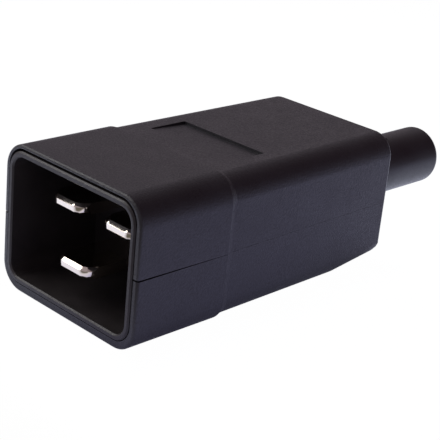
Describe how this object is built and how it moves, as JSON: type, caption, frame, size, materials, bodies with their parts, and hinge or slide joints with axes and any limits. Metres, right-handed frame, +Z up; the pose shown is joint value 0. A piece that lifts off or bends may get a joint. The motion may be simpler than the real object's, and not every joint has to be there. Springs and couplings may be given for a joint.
{
  "type": "iec power plug",
  "caption": "Straight rewireable appliance plug with flat blades in a deep shroud, a split moulded body and a round cable sleeve.",
  "frame": {"origin": "on the surface that the plug rests on, under the middle of its bounding box", "axes": "+Y from the mating opening towards the cable sleeve, +Z up, +X to the neutral blade's side"},
  "size_m": [0.0336, 0.0926, 0.0259],
  "materials": {
    "shell_plastic": "fine satin moulding, black",
    "carrier_plastic": "matte moulding, black",
    "blade_nickel": "bright nickel plate",
    "plate_brass": "pressed, plain",
    "screw_steel": "zinc plate",
    "clamp_plastic": "matte moulding, black",
    "sleeve_rubber": "smooth satin rubber, black"
  },
  "bodies": {
    "root": {"upper_shell": "shell_plastic", "lower_shell": "shell_plastic", "pin_carrier": "carrier_plastic", "line_pin": "blade_nickel", "neutral_pin": "blade_nickel", "earth_pin": "blade_nickel", "line_clamp_plate": "plate_brass", "neutral_clamp_plate": "plate_brass", "earth_clamp_plate": "plate_brass", "terminal_screws": "screw_steel", "cord_clamp_bar": "clamp_plastic", "cord_clamp_screws": "screw_steel", "shell_screws": "screw_steel", "cable_sleeve": "sleeve_rubber"}
  },
  "joints": []
}
